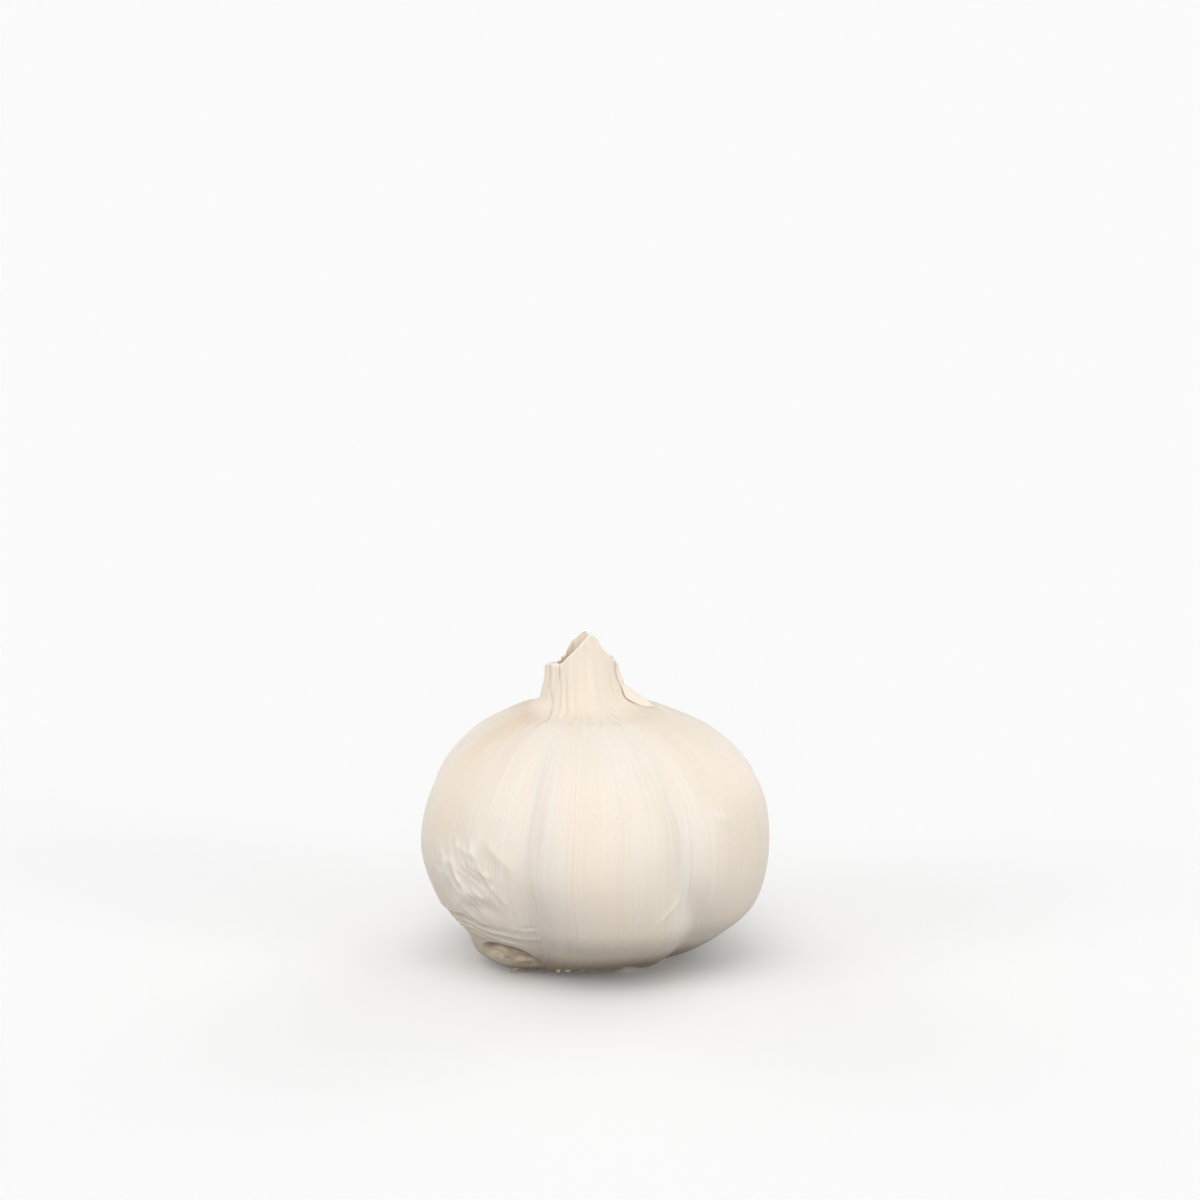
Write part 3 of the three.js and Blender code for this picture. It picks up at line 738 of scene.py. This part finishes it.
# The sheet follows the skin's own neck, drawn in towards its middle the more the further it has rolled. Its
# top follows the slanted cut, a little below it.
def makeInnerSheaths():
    s = innerSheaths
    along = np.linspace(0, 1, s["columns"])[:, None]
    share = np.linspace(0, 1, s["rows"])[None]
    azimuth = s["start"] + 360 * s["turns"] * along
    points = skinPoint(azimuth, mix(skin["pocketRows"][-1], lastRow, share))
    wave = s["wave"] * noiseOf(s, "wave", azimuth, share) * along
    shrink = mix(s["outer"], s["inner"], along ** 0.9) + wave
    points[..., 0] = mix(s["middle"], points[..., 0], shrink)
    points[..., 1] *= shrink
    side = np.sin(np.radians(azimuth)) * shrink
    atBack = band(azimuth, *s["backAzimuths"]) * smooth(side, -0.42, -0.3)
    lower = mix(*s["below"], smooth(along, 0.3, 0.5)) + s["backBelow"] * atBack
    ragged = s["ragged"] * (noiseOf(s, "ragged", azimuth, along) + noiseOf(s, "fineRagged", azimuth, along))
    top = cutHeight(side + s["backShift"] * atBack) - lower + ragged
    top = mix(rimHeight(azimuth) - s["startBelow"], top, smooth(along, 0, 0.035))
    points[..., 2] = mix(s["foot"], top, share)
    values = dict(grain=grainOf(azimuth, share + along * 3), edge=smooth(share, 0.93, 0.99), inner=along)
    mesh = sheetMesh("innerSheaths", points, s["thickness"], values)
    addPiece(mesh, sheathFinish(), "neck_inner_sheath")


def sheathFinish():
    finish = newFinish("driedSheath")
    fibres = finish.grainNoise(26, 0.8, 5, 0.7)
    patches = finish.step(finish.bodyNoise(260, 3), 0.4, 0.7)
    edge, inner = finish.attribute("edge"), finish.attribute("inner")
    base = finish.layered(
        innerSheaths["colour"], "tan",
        (1.1 - inner * 0.6 - patches * 0.25, "pale"),
        (finish.step(fibres, 0.5, 0.72) * inner * 0.5, "brown"),
        (edge * (0.1 + fibres * 0.6), "brown"),
    )
    return finish.finished(base, 0.55 + fibres * 0.2, fibres, 0.00015, 0.6)


makeInnerSheaths()


# The film of outer skin that is torn loose on the neck's right side

tornFlap = dict(
    columns=90, rows=61,
    # azimuths of its edges, and how far back the front edge lies below and at the crease
    front=66.0, back=138.0, leaning=18.0, pinch=9.0, pinchAt=0.48, pinchHalf=0.13,
    # rows that it starts at, is creased at and ends at
    lowRow=9.35, slant=0.6, backRise=1.3, cornerRow=12.0, highFrontRow=13.8, highBackRow=12.3,
    # how far it stands off the skin at the crease, and the share of its width in which it comes off
    stand=0.5, fastShare=0.3, loose=0.1, clear=0.06,
    thickness=0.14, wavy=1.6, ragged=0.3, lowRagged=0.16, crinkle=0.06,
    noises=dict(
        wavy=(9, 2, 31), torn=(17, 2, 32), fineTorn=(45, 2, 33), crinkle=(40, 9, 34), low=(13, 1, 35),
        fineLow=(36, 1, 36),
    ),
    # the edge's brown is partly painted shade along the front edge
    colour=dict(film="#f7ebdb", dried="#eddcc2", edge="#b98f60"),
)


# From a low point on the skin the film runs straight to a creased corner off the skin, and straight on to a
# high point. Towards its front edge it lies down on the skin, row by row, and it is fast at the back.
def makeTornFlap():
    t = tornFlap
    u, v = sharesOver(t)
    names = ("torn", "fineTorn", "low", "fineLow")
    torn, fineTorn, low, fineLow = (noiseOf(t, name, u * 180, v) for name in names)
    front = t["front"] + t["leaning"] * (1 - v) + t["pinch"] * bell(v, t["pinchAt"], t["pinchHalf"])
    wavy = t["wavy"] * noiseOf(t, "wavy", v * 90, u) * (1 - u) ** 2
    azimuth = mix(front, t["back"], u) + wavy
    opened = t["stand"] * band(u, 0, t["fastShare"], 0.45, 1)
    torn = t["ragged"] * (torn + 0.6 * fineTorn)
    highRow = mix(t["highFrontRow"], t["highBackRow"], u) + torn * smooth(v, 0.6, 1)
    lowRow = t["lowRow"] + t["lowRagged"] * (low + 0.5 * fineLow)
    lowRow = lowRow + t["slant"] * (1 - smooth(u, 0, 0.3)) + t["backRise"] * smooth(u, 0.35, 1)
    low = skinPoint(azimuth, lowRow, 0.05)
    corner = skinPoint(azimuth, t["cornerRow"], -t["clear"] - opened)
    high = skinPoint(azimuth, highRow, -t["clear"] - 0.3 * opened)
    toCorner, toHigh = np.minimum(1, 2 * v), np.maximum(0, 2 * v - 1)
    below, above = mix(low, corner, toCorner[..., None]), mix(corner, high, toHigh[..., None])
    free = np.where(v[..., None] < 0.5, below, above)
    row = np.where(v < 0.5, mix(lowRow, t["cornerRow"], toCorner), mix(t["cornerRow"], highRow, toHigh))
    fast = skinPoint(azimuth, row, -t["clear"])
    loose = t["loose"] * band(v, 0.02, 0.2, 0.4, 0.6)
    points = mix(fast, free, mix(loose, 1, smooth(u, 0, t["fastShare"]))[..., None])
    crinkle = t["crinkle"] * noiseOf(t, "crinkle", azimuth * 4, v)
    points = points + crinkle[..., None] * np.array([1.0, 0, 0.3])
    # The edge's share: brown at the top's torn edge, and along the front edge a brown that is partly the
    # dried edge and partly painted shade of the narrow gap where the film parts from the skin
    edge = np.maximum(1 - smooth(u, 0.01, 0.05), 0.5 * smooth(v, 0.95, 1)) * mix(1, 0.6, v)
    thickness = t["thickness"] * smooth(v, -0.05, 0.25) * smooth(u, -0.02, 0.1)
    mesh = sheetMesh("tornFlap", points, thickness, dict(grain=grainOf(azimuth, v), edge=edge))
    addPiece(mesh, flapFinish(), "skin_flap")


def flapFinish():
    finish = newFinish("looseFilm")
    fibres = finish.grainNoise(60, 1.4, 4, 0.65)
    crinkle = finish.bodyNoise(800, 4)
    base = finish.layered(
        tornFlap["colour"], "film",
        (finish.step(fibres, 0.45, 0.75) * 0.45, "dried"),
        # the dried edge, with painted shade along the front edge
        (finish.attribute("edge") * (0.35 + crinkle * 0.6), "edge"),
    )
    return finish.finished(base, 0.4 + fibres * 0.2, fibres * 0.6 + crinkle * 0.4, 0.00012, 0.5)


makeTornFlap()


# The root plate: a corky disc, flat below, with rays and a growth ring, and a darker rim

rootPlate = dict(
    radius=11.5, columns=432, flatRings=46,
    # the rings up the rim: their radius shares and heights
    rimShares=[0.93, 0.955, 0.975, 0.99, 1, 1, 0.995, 0.985],
    rimHeights=[0.04, 0.12, 0.26, 0.48, 0.8, 1.2, 1.8, 2.3],
    rayCount=24, rayDepth=0.3, raySwing=20.0, ringAt=0.42, ringHalf=0.035, ringDepth=0.18, hubDepth=0.3,
    grain=0.05, noises=dict(fibres=(140, 14, 41), rough=(90, 40, 42)), flatSpots=0.8,
    colour=dict(cork="#dcc096", pale="#ecdcbc", brown="#8a6238", dark="#5d4024"),
)


# The plate's edge is a circle less a flat oval and five faint lobes
def plateEdge(azimuth):
    turn = np.radians(azimuth)
    return rootPlate["radius"] * (1 - 0.025 * (1 + np.cos(2 * turn + 1)) - 0.012 * np.cos(5 * turn))


# Below, the plate lies flat but for rays, each half a cosine deep, fine radial fibres, a dent in the middle
# and one ring-shaped groove
def makeRootPlate():
    p = rootPlate
    share = np.concatenate([np.linspace(0.03, 0.9, p["flatRings"]), p["rimShares"]])[:, None]
    height = np.concatenate([np.zeros(p["flatRings"]), p["rimHeights"]])[:, None]
    azimuth = np.arange(p["columns"])[None] * 360 / p["columns"]
    under = 1 - smooth(share, 0.84, 0.93)
    rays = 0.5 * (1 - np.cos(np.radians(p["rayCount"] * azimuth + p["raySwing"] * np.sin(share * 9))))
    rays = rays * smooth(share, 0.22, 0.5) * under
    groove = p["ringDepth"] * bell(share, p["ringAt"], p["ringHalf"])
    groove = groove + p["hubDepth"] * (1 - smooth(share, 0.02, 0.13))
    fibres = p["grain"] * (1 + noiseOf(p, "fibres", azimuth, share)) * smooth(share, 0.1, 0.3)
    rough = p["grain"] * (1 + noiseOf(p, "rough", azimuth, share)) * smooth(share, 0.9, 0.97)
    between = smooth(np.cos(np.radians(p["rayCount"] * azimuth)), 0.2, 0.9)
    z = height + p["rayDepth"] * rays + (groove + fibres * (1 - p["flatSpots"] * between)) * under
    points = ringPoints(azimuth, share * plateEdge(azimuth) - rough, np.maximum(z, 0))
    rim, hub = smooth(share, 0.8, 0.95), 1 - smooth(share, 0.08, 0.3)
    values = dict(grain=grainOf(azimuth, share), rim=rim, ray=rays, hub=hub)
    addPiece(ringMesh("rootPlate", points, values), plateFinish(), "root_plate")


def plateFinish():
    finish = newFinish("rootCork")
    spokes, crumbs = finish.grainNoise(34, 2.0, 5, 0.7), finish.bodyNoise(900, 5, 0.7)
    rim, ray, hub = (finish.attribute(key) for key in ("rim", "ray", "hub"))
    base = finish.layered(
        rootPlate["colour"], "cork",
        (finish.step(spokes, 0.35, 0.7), "pale"),
        (ray * 0.35 + hub * 0.4, "brown"),
        (rim * (0.45 + spokes * 0.5), "brown"),
        (finish.step(crumbs, 0.58, 0.75) * 0.55, "dark"),
    )
    return finish.finished(base, 0.85 + crumbs * 0.1, spokes * 0.6 + crumbs * 0.5, 0.0003, 0.8)


makeRootPlate()


# The trimmed roots round the plate: short curved stubs, brown and dry

trimmedRoots = dict(
    count=280, steps=6, sides=6, thick=(0.16, 0.3), long=(1.2, 2.6), level=(0.35, 1.1), droop=(0.1, 0.8),
    sunk=(0.9, 1.4), lowest=0.06, asideSpread=24, bendSpread=0.35, taper=0.45, tip=0.7,
    colour=dict(dry="#c9a676", brown="#7d5632", pale="#e2cba2"),
)


# Each root starts inside the plate's edge, heads outwards with a turn to one side, and droops by the square
# of the length run
def makeTrimmedRoots():
    t = trimmedRoots
    random = np.random.default_rng(51)
    count = t["count"]
    azimuth = np.sort(random.uniform(0, 360, count))
    length = random.uniform(*t["long"], count)
    thick = random.uniform(*t["thick"], count)
    level = random.uniform(*t["level"], count)
    aside = np.radians(random.normal(0, t["asideSpread"], count))
    bend = random.normal(0, t["bendSpread"], count)
    start = plateEdge(azimuth) - random.uniform(*t["sunk"], count)
    run = np.linspace(0, 1, t["steps"])[None]
    turn = np.radians(azimuth)
    outwards = np.stack([np.sin(turn), -np.cos(turn)], -1)[:, None]
    sideways = np.stack([np.cos(turn), np.sin(turn)], -1)[:, None]
    out = start[:, None] + (length * np.cos(aside))[:, None] * run
    side = (length * np.sin(aside))[:, None] * run + (bend * length)[:, None] * run ** 2
    flat = outwards * out[..., None] + sideways * side[..., None]
    radii = thick[:, None] * (1 - t["taper"] * run ** 1.5) * np.where(run > 0.99, t["tip"], 1)
    droop = random.uniform(*t["droop"], count)[:, None] * run ** 2
    height = np.maximum(level[:, None] - droop, radii + t["lowest"])
    paths = np.concatenate([flat, height[..., None]], -1)
    values = dict(along=run, tint=random.random((count, 1)))
    addPiece(tubeMesh("trimmedRoots", paths, radii, t["sides"], values), rootFinish())


def rootFinish():
    finish = newFinish("dryRoots")
    crumbs = finish.bodyNoise(1400, 4, 0.7)
    base = finish.layered(
        trimmedRoots["colour"], "brown",
        (finish.attribute("tint"), "dry"),
        (finish.step(finish.attribute("along"), 0.85, 1.0) * 0.7, "pale"),
        (finish.step(crumbs, 0.5, 0.7) * 0.5, "brown"),
    )
    return finish.finished(base, 0.85, crumbs, 0.0003, 0.7)


makeTrimmedRoots()


# The skins' ragged lower end: a thin papery collar round the root plate, torn away at the front

paperCollar = dict(
    start=34.0, sweep=280.0, columns=560, rows=14,
    outerRow=2.35, innerReach=12.1, ragged=1.5, clear=0.12, thickness=0.12, curl=0.35, lowest=0.12,
    skinRadii=[11.9, 12.2, 14.5, 18.6, 22.3], skinHeights=[2.6, 1.8, 1.1, 2.05, 5.4],  # the skin's underside
    noises=dict(tears=(34, 1, 61), smallTears=(90, 1, 62), fineTears=(260, 1, 63), curl=(46, 1, 64)),
    colour=dict(paper="#e6d5b8", dried="#c8a878", brown="#8d653c"),
)


# From its fast end on the skin the collar runs inwards to a ragged edge, and lies just off the skin
def makePaperCollar():
    p = paperCollar
    u, v = sharesOver(p)
    azimuth = p["start"] + p["sweep"] * u
    fast = skinPoint(azimuth, p["outerRow"], -0.02)
    tears = noiseOf(p, "tears", azimuth) + 0.8 * noiseOf(p, "smallTears", azimuth)
    tears = tears + 0.4 * noiseOf(p, "fineTears", azimuth)
    reach = p["innerReach"] + p["ragged"] * (0.6 + 0.5 * tears) + 0.6 * np.sin(np.radians(3 * azimuth))
    points = mix(fast, ringPoints(azimuth, reach, 0.0), v[..., None])
    curl = p["curl"] * (1 + noiseOf(p, "curl", azimuth)) + p["lowest"]
    radius = np.hypot(points[..., 0] - 0.3, points[..., 1])
    underSkin = np.interp(radius, p["skinRadii"], p["skinHeights"]) - p["clear"]
    height = np.minimum(underSkin, mix(fast[..., 2], curl, smooth(v, 0.1, 1)))
    points[..., 2] = np.maximum(height, p["lowest"] + p["thickness"] / 2)
    values = dict(grain=grainOf(azimuth, v), edge=smooth(v, 0.75, 1))
    addPiece(sheetMesh("paperCollar", points, p["thickness"], values), paperFinish())


def paperFinish():
    finish = newFinish("raggedPaper")
    fibres = finish.grainNoise(70, 1.2, 4, 0.65)
    base = finish.layered(
        paperCollar["colour"], "paper",
        (finish.step(fibres, 0.4, 0.7) * 0.6, "dried"),
        (finish.attribute("edge") * (0.2 + fibres * 0.9), "brown"),
    )
    return finish.finished(base, 0.6 + fibres * 0.2, fibres, 0.00015, 0.6)


makePaperCollar()


# Dry tatters of the outer skin that hang from the foot at the front

footTatters = dict(
    start=-46.0, end=36.0, columns=420, rows=7,
    teethAzimuths=(-20, -9, 22, 32),  # the band in which the teeth hang
    skinRow=2.3, reach=15.2, uneven=0.7, lowest=0.1, thickness=0.08, length=0.12, ragged=0.4,
    spikeAzimuth=-38.0, spikeHalf=1.6, spikeOut=1.6, spikeLength=0.8,  # one torn corner that sticks out
    noises=dict(teeth=(120, 1, 71), fineTeeth=(300, 1, 72), reach=(60, 1, 73)),
)


# Each column runs from the skin towards the floor by its own random share, which makes the ragged teeth
def makeFootTatters():
    t = footTatters
    u, v = sharesOver(t)
    azimuth = mix(t["start"], t["end"], u)
    teeth = noiseOf(t, "teeth", azimuth) + 0.7 * noiseOf(t, "fineTeeth", azimuth)
    spike = bell(azimuth, t["spikeAzimuth"], t["spikeHalf"])
    share = (t["length"] + t["ragged"] * teeth) * band(azimuth, *t["teethAzimuths"])
    share = np.clip(share + t["spikeLength"] * spike, 0.03, 0.9)
    fast = skinPoint(azimuth, t["skinRow"], 0.1)
    reach = t["reach"] + t["uneven"] * noiseOf(t, "reach", azimuth) + t["spikeOut"] * spike
    points = mix(fast, ringPoints(azimuth, reach, t["lowest"]), (share * v)[..., None])
    values = dict(grain=grainOf(azimuth, v), edge=smooth(v, 0.3, 1))
    addPiece(sheetMesh("footTatters", points, t["thickness"], values), paperFinish())


makeFootTatters()


# Camera, floor and lights

studio = dict(
    lens=100.0, sensor=36.0, distance=551.0, elevation=15.0, clip=(0.01, 100),
    lookedAt=(1.8, 0.0, 22.0), pixel=(581, 822), picture=1200,
    floorColour="#ffffff", floorSize=30.0, floorRoughness=0.9,
    skyAbove=0.57, skyBelow=0.045, skyFrom=-0.72, skyTo=0.08,  # the sky brightens between these two heights
    suns=[  # azimuth, elevation, strength, angle of the soft source
        (58, 10, 0.88, 32), (0, 8, 0.85, 30), (-62, 20, 0.6, 36), (-10, 70, 0.42, 40),
        (140, 24, 0.5, 40), (-140, 24, 0.4, 40),
    ],
)


def addToScene(name, data):
    thing = bpy.data.objects.new(name, data)
    bpy.context.scene.collection.objects.link(thing)
    return thing


# The camera looks past the bulb, so that the bulb stands low in the picture: the line of sight to the point
# looked at has the given elevation, and the camera is then turned until that point falls on its pixel
def makeCamera():
    half = studio["picture"] / 2
    focal = studio["lens"] / studio["sensor"] * studio["picture"]
    elevation = math.radians(studio["elevation"])
    back = Vector((0, -math.cos(elevation), math.sin(elevation)))
    aside, down = (math.atan((place - half) / focal) for place in studio["pixel"])
    data = bpy.data.cameras.new("photoCamera")
    data.lens, data.sensor_width = studio["lens"], studio["sensor"]
    data.clip_start, data.clip_end = studio["clip"]
    camera = addToScene("photoCamera", data)
    turn = Matrix.Rotation(math.pi / 2 - elevation + down, 4, "X") @ Matrix.Rotation(aside, 4, "Y")
    target = Vector(studio["lookedAt"]) * mm
    camera.matrix_world = Matrix.Translation(target + back * studio["distance"] * mm) @ turn
    bpy.context.scene.camera = camera


def makeFloor():
    half = studio["floorSize"] / 2
    mesh = bpy.data.meshes.new("floor")
    corners = [(-half, -half, 0), (half, -half, 0), (half, half, 0), (-half, half, 0)]
    mesh.from_pydata(corners, [], [(0, 1, 2, 3)])
    colour, roughness = paint(studio["floorColour"]), studio["floorRoughness"]
    mesh.materials.append(newFinish("floorPaint").done(Base_Color=colour, Roughness=roughness))
    floor = addToScene("floor", mesh)
    floor.visible_diffuse = False  # the floor lights nothing, so that the bulb darkens towards its foot


def makeLights():
    for number, (azimuth, elevation, strength, angle) in enumerate(studio["suns"]):
        data = bpy.data.lights.new(f"softSun{number}", "SUN")
        data.energy, data.angle = strength, math.radians(angle)
        turn, rise = math.radians(azimuth), math.radians(elevation)
        towards = Vector((math.sin(turn) * math.cos(rise), -math.cos(turn) * math.cos(rise), math.sin(rise)))
        addToScene(data.name, data).rotation_euler = towards.to_track_quat("Z", "Y").to_euler()


def makeSky():
    sky = Finish(bpy.data.worlds.new("paleRoom"))
    direction = sky.node("ShaderNodeTexCoord", output="Generated")
    limits = {"From Min": "skyFrom", "From Max": "skyTo", "To Min": "skyBelow", "To Max": "skyAbove"}
    sockets = {socket: studio[key] for socket, key in limits.items()}
    sockets["Value"] = sky.node("ShaderNodeSeparateXYZ", None, {0: direction}, "Z")
    strength = sky.node("ShaderNodeMapRange", None, sockets, "Result")
    bpy.context.scene.world = sky.done("Background", Color=(1, 1, 1, 1), Strength=strength)
    bpy.context.scene.view_settings.view_transform = "Standard"


makeCamera()
makeFloor()
makeLights()
makeSky()
print("camera, floor and lights are in place")
